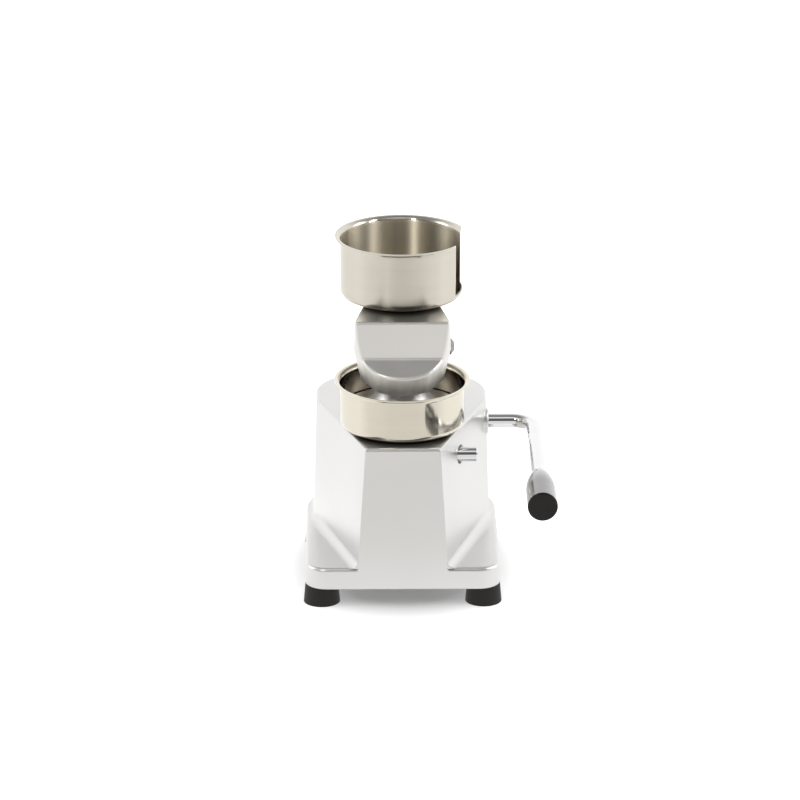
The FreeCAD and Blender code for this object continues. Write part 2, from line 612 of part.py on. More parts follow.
def lever():
    """The bent lever bar with its grip, the bushes it turns in, and the collar and cranks clamped on its shaft."""
    bar = Piece("lever_bar")
    inner = f"-{LEVER_SHAFT_END} + side_gap"
    path = [(inner, "lever_axis_y"),
            ("lever_elbow_x - lever_bend", "lever_axis_y", "lever_bend", -1),
            ("lever_elbow_x", "lever_axis_y - lever_bend"), ("lever_elbow_x", "-lever_end_y")]
    pipe_path = bar.sketch("XY", [path], closed=False)
    section = bar.sketch("YZ", [("circle", "lever_axis_y", "0", "bar_radius")], inner)
    pipe = bar.feature("PartDesign::AdditivePipe")
    pipe.Profile = section
    pipe.Spine = (pipe_path, [])
    bar.place("0", "0", "lever_axis_z")
    grip = Piece("lever_grip")
    near, far = "-grip_end_y + grip_long", "-grip_end_y"
    bore = "bar_radius + fit_gap"
    run, rise = "(grip_swell - grip_edge / 2)", "(grip_far_radius - grip_near_radius)"
    grip.revolve("YZ", [("-lever_end_y - side_gap", "0"), ("-lever_end_y - side_gap", bore), (near, bore),
                        (near, "grip_near_radius - grip_edge / 2"),
                        (f"{near} - grip_edge / 2", "grip_near_radius", f"({run} ^ 2 + {rise} ^ 2) / (2 * {rise})", 1),
                        (f"{near} - grip_swell", "grip_far_radius"), (f"{far} + grip_edge", "grip_far_radius", "grip_edge", 1),
                        (far, "grip_far_radius - grip_edge"), (far, "0")], "H_Axis")
    grip.place("lever_elbow_x", "0", "lever_axis_z")
    axis = ("lever_axis_y", "lever_axis_z")
    bore = "bar_radius + running_gap"
    turned_along_x("right_shaft_bush", tube("lever_boss_inner", LEVER_BOSS_END, bore, SHAFT_BUSH), *axis)
    turned_along_x("left_shaft_bush", tube(f"-{LEVER_SHAFT_END}", "-lever_boss_inner", bore, SHAFT_BUSH), *axis)
    turned_along_x("shaft_collar", tube("-lever_boss_inner + side_gap", "-lever_boss_inner + side_gap + collar_long",
                                        "bar_radius + fit_gap", "collar_radius"), *axis)
    crank("drive_crank", "drive_crank_long", "drive_crank_rest", "-lug_half", "lug_half", axis)
    crank("ejector_drive_crank", "ejector_crank_long", "ejector_crank_rest", ROCKER_NEAR, ROCKER_FAR, axis)
    pin_outline = tube("-lug_half", LINK_FAR, "0", "link_pin_radius")
    turned_along_x("drive_crank_pin", pin_outline, f"lever_axis_y + {DRIVE_PIN[0]}", f"lever_axis_z + {DRIVE_PIN[1]}")
    pin_outline = tube(ROCKER_NEAR, ROD_LINK_FAR, "0", "link_pin_radius")
    turned_along_x("ejector_crank_pin", pin_outline, f"lever_axis_y + {EJECTOR_PIN[0]}",
                   f"lever_axis_z + {EJECTOR_PIN[1]}")


def crank(label, long, rest, near, far, axis):
    """A crank clamped on a shaft, pointing rearwards and down by its rest angle, bored for its pin."""
    piece = Piece(label)
    piece.pad("YZ", [bar_outline(long, "link_end_radius")], near, far)
    piece.pad("YZ", [("circle", "0", "0", "crank_hub_radius")], near, far)
    piece.pocket("YZ", [("circle", "0", "0", "bar_radius + fit_gap")], near, far)
    piece.pocket("YZ", [("circle", long, "0", "link_pin_radius + fit_gap")], near, far)
    piece.place("0", *axis, turn=f"-{rest}")


def link(label, start, rise, near, far):
    """A flat link with a running hole at each end; start and rise are its lower pin and the way to the other."""
    piece = Piece(label)
    long = f"sqrt(({rise[0]}) ^ 2 + ({rise[1]}) ^ 2)"
    piece.pad("YZ", [bar_outline(long, "link_half")], near, far)
    for place in ("0", long):
        piece.pad("YZ", [("circle", place, "0", "link_end_radius")], near, far)
        piece.pocket("YZ", [("circle", place, "0", "link_pin_radius + running_gap")], near, far)
    piece.place("0", *start, turn=f"atan2({rise[1]}; {rise[0]})")


def links():
    """The two links, each one side of a parallelogram, so that it stays at its own slope as the press moves."""
    start = (f"lever_axis_y + {DRIVE_PIN[0]}", f"lever_axis_z + {DRIVE_PIN[1]}")
    link("drive_link", start, ("pivot_y - lever_axis_y", "pivot_z - lever_axis_z"), LINK_NEAR, LINK_FAR)
    start = (f"ejector_axis_y + {EJECTOR_PIN[0]}", f"ejector_axis_z + {EJECTOR_PIN[1]}")
    link("ejector_link", start, ("lever_axis_y - ejector_axis_y", "lever_axis_z - ejector_axis_z"),
         f"{ROCKER_FAR} + side_gap", ROD_LINK_FAR)


def ejector_shaft():
    """The ejector shaft, whose end shows on the right flank, with its bushes and the rocker that lifts the yoke."""
    axis = ("ejector_axis_y", "ejector_axis_z")
    inner, tip, edge = f"-{EJECTOR_SHAFT_END} + side_gap", EJECTOR_STUB_END, "ejector_stub_edge"
    turned_along_x("ejector_shaft", [(inner, "0"), (inner, "bar_radius"), (f"{tip} - {edge}", "bar_radius"),
                                     (tip, f"bar_radius - {edge}"), (tip, "0")], *axis)
    bore = "bar_radius + running_gap"
    turned_along_x("ejector_right_bush", tube("ejector_boss_inner", EJECTOR_BOSS_END, bore, SHAFT_BUSH), *axis)
    turned_along_x("ejector_left_bush", tube(f"-{EJECTOR_SHAFT_END}", "-ejector_boss_inner", bore, SHAFT_BUSH), *axis)
    piece = Piece("ejector_rocker")
    piece.pad("YZ", [bar_outline("ejector_crank_long", "link_end_radius")], ROCKER_NEAR, ROCKER_FAR)
    piece.pad("YZ", [("circle", "0", "0", "crank_hub_radius")], ROCKER_NEAR, ROCKER_FAR)
    lean = "180 + swing / 2 + ejector_crank_rest"
    along, across = f"cos({lean})", f"sin({lean})"
    radius = "(lift_pin_radius + yoke_wall)"
    finger = [(f"{a} * {along} - {b} * {across}", f"{a} * {across} + {b} * {along}") + arc
              for a, b, arc in (("0", f"-{radius}", ()), ("finger_long", f"-{radius}", (radius, 1)),
                                (f"(finger_long + {radius})", "0", (radius, 1)), ("finger_long", radius, ()),
                                ("0", radius, ()))]
    piece.pad("YZ", [finger], ROCKER_NEAR, ROCKER_FAR)
    piece.pocket("YZ", [("circle", "0", "0", "bar_radius + fit_gap")], ROCKER_NEAR, ROCKER_FAR)
    piece.pocket("YZ", [("circle", "ejector_crank_long", "0", "link_pin_radius + fit_gap")], ROCKER_NEAR, ROCKER_FAR)
    piece.pocket("YZ", [("circle", f"finger_long * {along}", f"finger_long * {across}", "lift_pin_radius + fit_gap")],
                 ROCKER_NEAR, ROCKER_FAR)
    piece.place("0", *axis, turn="-ejector_crank_rest")
    turned_along_x("rocker_pin", tube(ROCKER_NEAR, ROD_LINK_FAR, "0", "link_pin_radius"),
                   f"ejector_axis_y + {EJECTOR_PIN[0]}", f"ejector_axis_z + {EJECTOR_PIN[1]}")
    turned_along_x("lifting_pin", tube(YOKE_NEAR, ROCKER_FAR, "0", "lift_pin_radius"),
                   f"ejector_axis_y - {FINGER_Y}", PIN_Z_REST)


def press_arm():
    """The cast press arm: a drafted block with a round nose, cut to its side view, with a tail hub and a link lug."""
    piece = Piece("press_arm")
    low, high = "pivot_z - ear_radius", "arm_top_z + ear_radius"
    down = f"(arm_draft_down * (arm_parting_z - ({low})))"
    up = f"(arm_draft_up * ({high} - arm_parting_z))"
    piece.loft([(arm_plan(down), low), (arm_plan("0"), "arm_parting_z"), (arm_plan(up), high)])
    chin = "arm_front + arm_nose_set"
    chin_z = f"{ARM_BREAK_Z} - ({chin} - arm_break_y) * arm_chin_slope"
    sole = "arm_sole_z - arm_sole_slope * "
    side = [("-arm_brow_y", "arm_top_z"), ("-arm_break_y", ARM_BREAK_Z), (f"-({chin})", chin_z),
            (f"-({chin})", f"{sole}({chin})"), ("arm_sole_back", f"{sole}(-arm_sole_back)"),
            ("arm_throat_y", "arm_throat_z"), ("pivot_y - ear_radius / 2", f"{low} + ear_radius / 4"),
            ("pivot_y + ear_radius / 2", f"{low} + ear_radius / 4"), ("pivot_y + ear_radius - side_gap", "pivot_z"),
            ("arm_back_y", "arm_parting_z"), ("arm_back_y - arm_back_set", "arm_top_z")]
    frame = rectangle("-2 * arm_front", "2 * pivot_y", f"{low} - ear_radius", f"{high} + ear_radius")
    piece.pocket("YZ", [frame, side], "-arm_half - ear_radius", "arm_half + ear_radius")
    nose_low = value("arm_sole_z")
    piece.fillet("arm_edge", lambda edge: edge.BoundBox.ZMin > nose_low and edge.BoundBox.YMax < 0)
    piece.pad("YZ", [("circle", "pivot_y", "pivot_z", "ear_radius")], "-arm_tail_half", "arm_tail_half")
    along, across = "cos(-drive_crank_rest)", "sin(-drive_crank_rest)"
    radius = "link_end_radius"
    lug = [(f"pivot_y + {a} * {along} - {b} * {across}", f"pivot_z + {a} * {across} + {b} * {along}") + arc
           for a, b, arc in (("0", f"(-{radius})", ()), ("drive_crank_long", f"(-{radius})", (radius, 1)),
                             (f"(drive_crank_long + {radius})", "0", (radius, 1)), ("drive_crank_long", radius, ()),
                             ("0", radius, ()))]
    piece.pad("YZ", [lug], "-lug_half", "lug_half")
    bore = ("circle", "pivot_y", "pivot_z", "pivot_radius + running_gap")
    piece.pocket("YZ", [bore], "-arm_tail_half", "arm_tail_half")
    bore = ("circle", f"pivot_y + {DRIVE_PIN[0]}", f"pivot_z + {DRIVE_PIN[1]}", "link_pin_radius + fit_gap")
    piece.pocket("YZ", [bore], "-lug_half", "lug_half")
    piece.pocket("XY", [("circle", "0", "0", "stem_radius + fit_gap")], "arm_sole_z - 2 * stem_radius", STEM_TOP)
    piece.pocket("YZ", [("circle", "0", BOLT_Z, "bolt_radius + fit_gap")], "-bolt_end", "arm_half")
    piece.pocket("YZ", [("circle", "0", BOLT_Z, "bolt_head_radius + side_gap")], BOLT_SEAT, "arm_half + bolt_head_long")
    screws = [("circle", f"{side}holder_screw_side", "holder_axis", "small_screw_radius + fit_gap") for side in ("", "-")]
    piece.pocket("XY", screws, "arm_top_z - small_screw_long", "arm_top_z")
    turned_along_x("arm_link_pin", tube("-lug_half", LINK_FAR, "0", "link_pin_radius"),
                   f"pivot_y + {DRIVE_PIN[0]}", f"pivot_z + {DRIVE_PIN[1]}")
    pivot = [(f"-{EAR_FAR}", "0"), (f"-{EAR_FAR}", "pivot_radius"), (EAR_FAR, "pivot_radius"),
             (EAR_FAR, "pivot_head_radius"), (f"{EAR_FAR} + pivot_head_long", "pivot_head_radius"),
             (f"{EAR_FAR} + pivot_head_long", "0")]
    turned_along_x("arm_pivot_pin", pivot, "pivot_y", "pivot_z")


def press_plate():
    """The round press plate with its trumpet hub and stem, and the bolt across the arm that holds the stem."""
    piece = Piece("press_plate")
    edge, low = "bowl_radius - plate_gap", "plate_low_z"
    crown = f"{low} + plate_edge + plate_crown"
    piece.revolve("XZ", [("0", low), (f"{edge} - plate_chamfer", low), (edge, f"{low} + plate_chamfer"),
                         (edge, f"{low} + plate_edge"), ("hub_radius + hub_flare", crown, "hub_flare", -1),
                         ("hub_radius", f"{crown} + hub_flare"), ("hub_radius", "hub_top_z"),
                         ("stem_radius", "hub_top_z"), ("stem_radius", f"{STEM_TOP} - fit_gap"),
                         ("0", f"{STEM_TOP} - fit_gap")], "V_Axis")
    bore = ("circle", "0", BOLT_Z, "bolt_radius + fit_gap")
    piece.pocket("YZ", [bore], "-2 * stem_radius", "2 * stem_radius")
    dome = "bolt_head_radius"
    tip = f"{BOLT_SEAT} + bolt_head_long"
    turned_along_x("cross_bolt", [("-bolt_end", "0"), ("-bolt_end", "bolt_radius"), (BOLT_SEAT, "bolt_radius"),
                                  (BOLT_SEAT, dome), (f"{BOLT_SEAT} + bolt_head_long / 3", dome), (tip, f"{dome} / 2"),
                                  (tip, "0")], "0", BOLT_Z)


def feet():
    """Four rubber feet, each with a recess for the screw that holds it to its boss."""
    members = []
    for name, (x, y) in FOOT_PLACES.items():
        foot = Piece(f"foot_{name}")
        bore, recess, step = "foot_screw_radius + fit_gap", "foot_recess_radius", "foot_recess_deep"
        foot.revolve("XZ", [(recess, "0"), ("foot_low_radius", "0"), ("foot_top_radius", "foot_high"), (bore, "foot_high"),
                            (bore, step), (recess, step)], "V_Axis")
        foot.place(x, y, "0")
        screw = Piece(f"foot_screw_{name}", alone=False)
        low, top = "foot_recess_deep - foot_screw_head_high", "plinth_top - 2 * casting_wall"
        screw.revolve("XZ", [("0", low), ("foot_screw_head", low), ("foot_screw_head", step), ("foot_screw_radius", step),
                             ("foot_screw_radius", top), ("0", top)], "V_Axis")
        screw.place(x, y, "0")
        members.append(screw.body)
    group("foot_screws", members)


def write_parts():
    """Check every object and every sub-part's solid, then write each sub-part to its own file."""
    doc.recompute()
    bad = [o.Name for o in doc.Objects if "Invalid" in o.State or "Error" in o.State]
    bad += [n.Label for n in NODES if n.Shape.isNull() or not n.Shape.isValid() or not n.Shape.Solids]
    if bad:
        raise RuntimeError(f"not sound: {bad}")
    os.makedirs("parts", exist_ok=True)
    for node in NODES:
        node.Shape.exportStep(f"parts/{node.Label}.step")
        print(node.Label, len(node.Shape.Solids), round(node.Shape.Volume / 1000, 2), "cm3")


body_casting()
cups()
small_screws("bowl_screws", [(f"bowl_screw_circle * cos({turn})", f"bowl_screw_circle * sin({turn})", BOWL_FLOOR)
                             for turn in BOWL_SCREW_TURNS])
small_screws("holder_screws", [(f"{side}holder_screw_side", "holder_axis", f"{HOLDER_LOW} + sheet_wall")
                               for side in ("", "-")])
ejector()
lever()
links()
ejector_shaft()
press_arm()
press_plate()
feet()
write_parts()
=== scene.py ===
"""Looks of a manual burger press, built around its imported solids.

Metres, with +X to the lever, -Y to the front and +Z up.
"""
import json
import math

import bmesh
import bpy
import numpy as np
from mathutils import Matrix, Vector


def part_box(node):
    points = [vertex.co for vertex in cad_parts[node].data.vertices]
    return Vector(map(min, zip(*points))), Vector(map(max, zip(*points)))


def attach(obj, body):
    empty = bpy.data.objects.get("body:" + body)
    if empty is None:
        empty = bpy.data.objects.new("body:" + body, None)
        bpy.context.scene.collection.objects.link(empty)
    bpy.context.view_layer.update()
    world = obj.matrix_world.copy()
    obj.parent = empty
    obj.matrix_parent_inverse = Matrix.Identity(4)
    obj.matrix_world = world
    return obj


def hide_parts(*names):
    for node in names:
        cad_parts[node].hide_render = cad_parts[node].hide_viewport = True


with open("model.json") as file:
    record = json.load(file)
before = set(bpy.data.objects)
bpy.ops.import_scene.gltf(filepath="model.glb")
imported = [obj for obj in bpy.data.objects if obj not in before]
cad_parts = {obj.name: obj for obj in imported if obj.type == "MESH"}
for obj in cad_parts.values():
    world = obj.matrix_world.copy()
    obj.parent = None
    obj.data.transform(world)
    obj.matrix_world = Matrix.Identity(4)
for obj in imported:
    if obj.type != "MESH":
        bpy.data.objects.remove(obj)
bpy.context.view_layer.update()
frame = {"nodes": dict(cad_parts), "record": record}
NODES = frame["nodes"]

# The bowl's axis and the holder's axis, as places in X and Y, and the radius inside each
BOWL_AXIS = tuple((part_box("forming_bowl")[0][i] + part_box("forming_bowl")[1][i]) / 2 for i in range(2))
HOLDER_AXIS = (BOWL_AXIS[0], (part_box("paper_holder")[0][1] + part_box("paper_holder")[1][1]) / 2)
BOWL_BORE, HOLDER_BORE = 0.0506, 0.0500

# The tops that get painted shade, how far below them a face still counts as the top, and the painted shade's
# colour
DECK_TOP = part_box("forming_bowl")[0][2]
ARM_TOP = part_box("press_arm")[1][2]
TOP_DEPTH = 0.0008
PAINTED_SHADE_COLOUR = (0.03, 0.027, 0.02)

# Painted shade before the bowl: turn to the sides, reach from the axis, the deck's unshaded front edge and
# strength
FAN_TURN, FAN_REACH, DECK_EDGE, FAN_STRENGTH = -0.55, 0.078, -0.0566, 0.62

# Painted shade on the arm: strength at the holder's foot, the foot's radius, and how it fades ahead and aside
FOOT_STRENGTH, FOOT_RADIUS, SHADE_FADES_AHEAD, SHADE_FADES_ASIDE = 0.97, 0.052, 18.0, 280.0

# The arm's nose: the chin's lower edge in Y and Z, the chin's slope, and how deep the ground face is
CHIN_Y, CHIN_Z = BOWL_AXIS[1] - 0.0385, 0.1912
CHIN_SLOPE, NOSE_DEPTH = 0.639, 0.024

# The lines of the ground nose: their two colours, and how many there are to a metre across and upwards
LINE_PALE, LINE_DEEP = (0.97, 0.955, 0.92), (0.66, 0.645, 0.61)
LINES_ACROSS, LINES_UP = 170.0, 10.0

# How far the edges of the castings are rounded, and the place along Y where the grip's flat end stops
EDGE_ROUND = 0.0018
GRIP_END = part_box("lever_grip")[0][1] + 0.001

# The photograph's view: what the camera looks at, its turn and height in degrees, its distance and its scale
AIM = Vector((BOWL_AXIS[0] - 0.00176, BOWL_AXIS[1], 0.16034))
CAMERA_TURN = -0.65
CAMERA_RISE = 20.03
CAMERA_AWAY = 3.4
METRES_PER_PIXEL = 0.0008203
IMAGE_WIDTH = 800

# The studio's walls: brightness by height above the horizon, before the press and behind it
FRONT_SKY = ((0.0, 1.20), (0.10, 1.15), (0.21, 0.16), (0.66, 0.12), (0.82, 0.42), (0.90, 1.40), (1.0, 1.40))
REAR_SKY = ((0.0, 1.25), (0.55, 1.25), (0.80, 0.50), (1.0, 0.22))

# Where the front walls end and where the rear walls start, along Y
FRONT_EDGE, REAR_EDGE = -0.45, -0.12

# The floor's glow that the camera sees, near the press and far from it
FLOOR_NEAR = (0.12, 0.12, 0.12)
FLOOR_FAR = (1.0, 1.0, 1.0)

# The floor's glow that the press mirrors: under it, around it, before it and to its left
FLOOR_MIRRORED = (0.82, 0.82, 0.82)
FLOOR_BESIDE = (0.84, 0.84, 0.84)
FLOOR_BEFORE = (0.53, 0.52, 0.495)
FLOOR_LEFT = (1.06, 1.06, 1.06)

# The floor's paint, for the camera and for all else
FLOOR_PAINT = (0.75, 0.75, 0.75)
FLOOR_DULL = (0.42, 0.42, 0.42)

# Half the floor's width, how much narrower than long the shadow is, and how far behind the bowl its middle is
FLOOR_HALF, SHADOW_NARROW, SHADOW_BACK = 6.0, 1.2, 0.03

# How far from the shadow's middle the shadow and the mirrored glow under the press start to fade
SHADOW_EDGE, GLOW_EDGE = 0.07727, 0.15625

# The edges of the mirrored floor's patches: the front one's rear and sides, the left one's sides and front
BEFORE_REAR, BEFORE_SIDE = -0.05833, 1.0909
LEFT_NEAR, LEFT_FAR, LEFT_FRONT = -0.075, -0.27, -0.05

# The casting where its tower stands on the plinth, in millimetres from the bowl's axis
PANEL_HALF, TOWER_HALF, SHOULDER_Y, TOWER_CORNER = 36.7, 74.2, 60.0, 42.0
PLINTH_HALF, PLINTH_FRONT, PLINTH_BACK, PLINTH_CORNER, TOWER_BACK = 77.0, 59.0, 127.0, 42.0, 125.0

# The height of the plinth's top in metres, and the millimetres in a metre
PLINTH_TOP = 0.035
MM = 1000

# The blend's reach and its cap's depth in millimetres, and the tower's batter at the panel and on the sides
BLEND_REACH, CAP_DEPTH = 7.0, 0.3
FRONT_BATTER, SIDE_BATTER = 0.060, 0.031

# Points on each straight, round the corner, across the blend and along its reach, and cut at the shoulder
STRAIGHT_STEPS, CORNER_STEPS, BLEND_STEPS, REACH_STEPS, SHOULDER_CUT = 40, 24, 13, 41, 3

# The arm's cheeks, in millimetres from the bowl's axis: the cut's depth, where it starts and where it is full
CHEEK_CUT, CHEEK_SPREAD = 3.6, 30.0
CHEEK_Y = (-13.0, -21.0)
CHEEK_Z = (233.4, 209.0)

# The angle past which an edge of the arm stays sharp, and the distance within which its points are joined
CREASE = math.radians(24.0)
SAME_PLACE = 1e-6

# The places of a Mix node's two colours among its inputs, and of its colour among its outputs
MIX_FIRST, MIX_SECOND, MIX_RESULT = 6, 7, 2


class Wire:
    """An output socket of a node, with arithmetic that adds Math nodes."""

    def __init__(self, graph, socket):
        self.graph = graph
        self.socket = socket

    def __add__(self, other):
        return self.graph.maths("ADD", self, other)

    def __sub__(self, other):
        return self.graph.maths("SUBTRACT", self, other)

    def __rsub__(self, other):
        return self.graph.maths("SUBTRACT", other, self)

    def __mul__(self, other):
        return self.graph.maths("MULTIPLY", self, other)

    def __truediv__(self, other):
        return self.graph.maths("DIVIDE", self, other)

    def __pow__(self, other):
        return self.graph.maths("POWER", self, other)

    __radd__ = __add__
    __rmul__ = __mul__

    def clamped(self):
        return self.graph.maths("MAXIMUM", self.graph.maths("MINIMUM", self, 1.0), 0.0)

    def past(self, edge, steep):
        """0 up to an edge and 1 well beyond it, with a slope between; a negative slope swaps the sides."""
        return ((self - edge) * steep).clamped()


class Graph:
    """A node tree, with one method that adds a node of any type."""

    def __init__(self, tree):
        self.tree = tree

    def node(self, kind, settings=None, sockets=None, output=0):
        """Add a node, set its settings and a ramp's stops first, then the values or links of its sockets."""
        node = self.tree.nodes.new(kind)
        for name, setting in (settings or {}).items():
            if name == "stops":
                ramp = node.color_ramp.elements
                while len(ramp) < len(setting):
                    ramp.new(1.0)
                for element, (place, colour) in zip(ramp, setting):
                    element.position = place
                    element.color = (*colour, 1.0)
            else:
                setattr(node, name, setting)
        for name, source in (sockets or {}).items():
            self.join(source, node.inputs[name])
        return Wire(self, node.outputs[output])

    def join(self, source, socket):
        """Give a socket a link, a value, or a colour of three parts."""
        if isinstance(source, Wire):
            self.tree.links.new(source.socket, socket)
        elif socket.type == "RGBA":
            socket.default_value = (*source, 1.0)
        else:
            socket.default_value = source

    def maths(self, operation, *values):
        return self.node("ShaderNodeMath", {"operation": operation}, dict(enumerate(values)))

    def split(self, vector):
        """The three numbers of a vector."""
        parts = self.node("ShaderNodeSeparateXYZ", sockets={0: vector})
        return [Wire(self, socket) for socket in parts.socket.node.outputs]

    def vector(self, *numbers):
        return self.node("ShaderNodeCombineXYZ", None, dict(enumerate(numbers)))

    def mix(self, factor, first, second):
        """A colour between two colours."""
        sockets = {"Factor": factor, MIX_FIRST: first, MIX_SECOND: second}
        return self.node("ShaderNodeMix", {"data_type": "RGBA"}, sockets, MIX_RESULT)

    def seen_by_camera(self):
        return self.node("ShaderNodeLightPath", output="Is Camera Ray")


class Look(Graph):
    """A procedural material on one Principled shader."""

    def __init__(self, name, **constants):
        self.material = bpy.data.materials.new(name)
        self.material.use_nodes = True
        super().__init__(self.material.node_tree)
        self.shader = self.tree.nodes["Principled BSDF"]
        for socket, number in constants.items():
            self.feed(socket.replace("_", " "), number)

    def feed(self, socket, source):
        """Give the shader's own socket a value or a link."""
        self.join(source, self.shader.inputs[socket])

    def place(self):
        return self.node("ShaderNodeTexCoord", output="Object")

    def noise(self, vector, scale, detail=2.0, roughness=0.5):
        sockets = {"Vector": vector, "Scale": scale, "Detail": detail, "Roughness": roughness}
        return self.node("ShaderNodeTexNoise", None, sockets)

    def bump(self, height, strength, distance):
        sockets = {"Height": height, "Strength": strength, "Distance": distance}
        self.feed("Normal", self.node("ShaderNodeBump", None, sockets))


def round_places(look, axis):
    """The direction from an upright axis, by its parts in X and Y, the distance from it and the height."""
    x, y, z = look.split(look.place())
    across, along = x - axis[0], y - axis[1]
    radius = (across * across + along * along) ** 0.5
    return across / radius, along / radius, radius, z


def painted_shade_on_deck(look):
    """Painted shade on the deck under the bowl, in a fan before the bowl that stops short of the deck's front
    edge.
    """
    _, along, radius, z = round_places(look, BOWL_AXIS)
    fan = along.past(FAN_TURN, steep=-6.0) * radius.past(FAN_REACH, steep=-100.0)
    behind_edge = (along * radius).past(DECK_EDGE, steep=1200.0)
    return fan * z.past(DECK_TOP - TOP_DEPTH, steep=2000.0) * behind_edge * FAN_STRENGTH


def painted_shade_on_arm(look):
    """Painted shade on the arm's top under the holder, darkest at the holder's foot and lighter towards the
    brow.
    """
    across, _, radius, z = round_places(look, HOLDER_AXIS)
    aside = across * radius
    shade_strength = FOOT_STRENGTH - (radius - FOOT_RADIUS) * SHADE_FADES_AHEAD - aside * aside * SHADE_FADES_ASIDE
    return shade_strength.clamped() * z.past(ARM_TOP - TOP_DEPTH, steep=2000.0)


def ground_nose(look):
    """Where the arm's nose is ground, below the plane of its chin, and the colour of its upright lines."""
    x, y, z = look.split(look.place())
    below = (z - (y - CHIN_Y) * CHIN_SLOPE).past(CHIN_Z, steep=-1500.0)
    ahead = y.past(CHIN_Y + NOSE_DEPTH, steep=-120.0)
    drawn_out = look.vector(x * LINES_ACROSS, y * LINES_ACROSS, z * LINES_UP)
    lines = look.noise(drawn_out, scale=1.0, detail=1.0)
    return below * ahead, look.mix(lines, LINE_DEEP, LINE_PALE)


# The castings: the cloud's share of the colour, what rubbing adds to the roughness and the cloud takes off it
CLOUD_SHARE, RUBBED_ROUGH, CLOUD_SMOOTH = 0.7, 0.10, 0.04


def cast_aluminium(name, pale, deep, shine, painted_shade, nose=0.0):
    """Satin casting: a soft cloud in the colour, patches that are rubbed dull, and painted shade where a cup
    stands on it.

    The last number, where there is one, is how much rougher the arm's nose gets by its grinding.
    """
    look = Look(name, Metallic=0.9, IOR=1.5)
    cloud = look.noise(look.place(), scale=12.0, detail=1.0)
    rubbed = look.noise(look.place(), scale=40.0, detail=1.0)
    colour = look.mix(cloud * CLOUD_SHARE + rubbed * (1 - CLOUD_SHARE), deep, pale)
    rough = shine + rubbed * RUBBED_ROUGH - cloud * CLOUD_SMOOTH
    if nose:
        ground, lines = ground_nose(look)
        colour = look.mix(ground, colour, lines)
        rough = rough + ground * nose
    # Painted shade: the colour darkens towards a near black where the bowl or the holder stands
    look.feed("Base Color", look.mix(painted_shade(look), colour, PAINTED_SHADE_COLOUR))
    look.feed("Roughness", rough.clamped())
    look.feed("Normal", look.node("ShaderNodeBevel", {"samples": 6}, {"Radius": EDGE_ROUND}))
    return look


# Spun sheet: the fine rings' share of the colour, and what rings and wiping add to the roughness
RING_SHARE, RING_ROUGH, WIPED_ROUGH = 0.4, 0.04, 0.06

# Painted reflection streaks within a cup: waves to a radian, their weight, the noise's weight, and a dark
# streak's brightness
STREAK_WAVES, WAVE_WEIGHT, NOISE_WEIGHT, STREAK_DIM = 9.5, 0.36, 0.7, 0.45

# The painted reflection's level at the rear of the cup, and its fall to a radian
STREAK_LEVEL, STREAK_FALL = 0.58, 0.85


def spun_steel(name, axis, pale, deep, shine, turned, inside=None, bore=0.0, inner_shine=0.0):
    """Spun sheet: rings left by the tool, with faint wiping marks.

    Inside the bore it has its own shine, and its colour is painted shade where darker than outside (the bowl)
    and painted light where paler (the holder), crossed by upright bands of painted reflection that fade from
    rear to front.
    """
    look = Look(name, Metallic=1.0, Anisotropic=turned, Anisotropic_Rotation=0.25)
    across, along, radius, z = round_places(look, axis)

    def around(way, pitch, turns):
        """Noise that runs round the axis, with a pitch across the rings."""
        return look.noise(look.vector(way * pitch, across * turns, along * turns), scale=1.0)

    rings = around(radius + z, pitch=900.0, turns=1.6)
    broad = around(radius + z, pitch=160.0, turns=0.6)
    wiped = look.noise(look.place(), scale=38.0, detail=3.0)
    colour = look.mix(rings * RING_SHARE + broad * (1 - RING_SHARE), deep, pale)
    rough = shine + rings * RING_ROUGH + wiped * WIPED_ROUGH
    if inside:
        within = radius.past(bore, steep=-4000.0)
        from_rear = look.maths("ARCCOSINE", along)
        waves = look.maths("COSINE", from_rear * STREAK_WAVES)
        uneven = around(z, pitch=4.0, turns=3.0)
        level = STREAK_LEVEL - from_rear * STREAK_FALL
        # Painted reflection: upright bright and dark bands in the bore's colour, dimmer towards the front
        painted_streaks = (level + uneven * NOISE_WEIGHT - waves * WAVE_WEIGHT).clamped()
        painted_dark_streak = tuple(STREAK_DIM * part for part in inside)
        colour = look.mix(within, colour, look.mix(painted_streaks, painted_dark_streak, inside))
        rough = rough + within * (inner_shine - shine)
    look.feed("Base Color", colour)
    look.feed("Roughness", rough.clamped())
    return look


# Chrome: its roughness, and what a smear adds
CHROME_ROUGH, SMEAR_ROUGH = 0.03, 0.07


def plated_steel(name, pale, deep):
    """Polished chrome with faint smears."""
    look = Look(name, Metallic=1.0)
    smear = look.noise(look.place(), scale=60.0, detail=3.0, roughness=0.6)
    look.feed("Base Color", look.mix(smear, deep, pale))
    look.feed("Roughness", (CHROME_ROUGH + smear * SMEAR_ROUGH).clamped())
    return look


# What a patch of grease adds to the roughness of machine pieces
PATCH_ROUGH = 0.18


def ground_metal(name, pale, deep, shine):
    """Turned or ground machine pieces, with a film of grease in patches."""
    look = Look(name, Metallic=1.0)
    patches = look.noise(look.place(), scale=90.0, detail=4.0, roughness=0.6)
    fine = look.noise(look.place(), scale=1800.0, detail=1.0)
    look.feed("Base Color", look.mix(patches, deep, pale))
    look.feed("Roughness", (shine + patches * PATCH_ROUGH).clamped())
    look.bump(fine, strength=0.15, distance=0.0001)
    return look


# What dust adds to the roughness and to the grain's height
DUST_ROUGH, DUST_HEIGHT = 0.15, 0.4


def moulded_black(name, pale, deep, shine, grain, scale):
    """Black plastic or rubber: a moulded grain, with dust and handling that pale it in patches."""
    look = Look(name, IOR=1.46, Specular_IOR_Level=0.3)
    dust = look.noise(look.place(), scale=70.0, detail=4.0, roughness=0.6)
    fine = look.noise(look.place(), scale)
    look.feed("Base Color", look.mix(dust, deep, pale))
    look.feed("Roughness", (shine + dust * DUST_ROUGH).clamped())
    look.bump(fine + dust * DUST_HEIGHT, strength=grain, distance=0.0003)
    return look


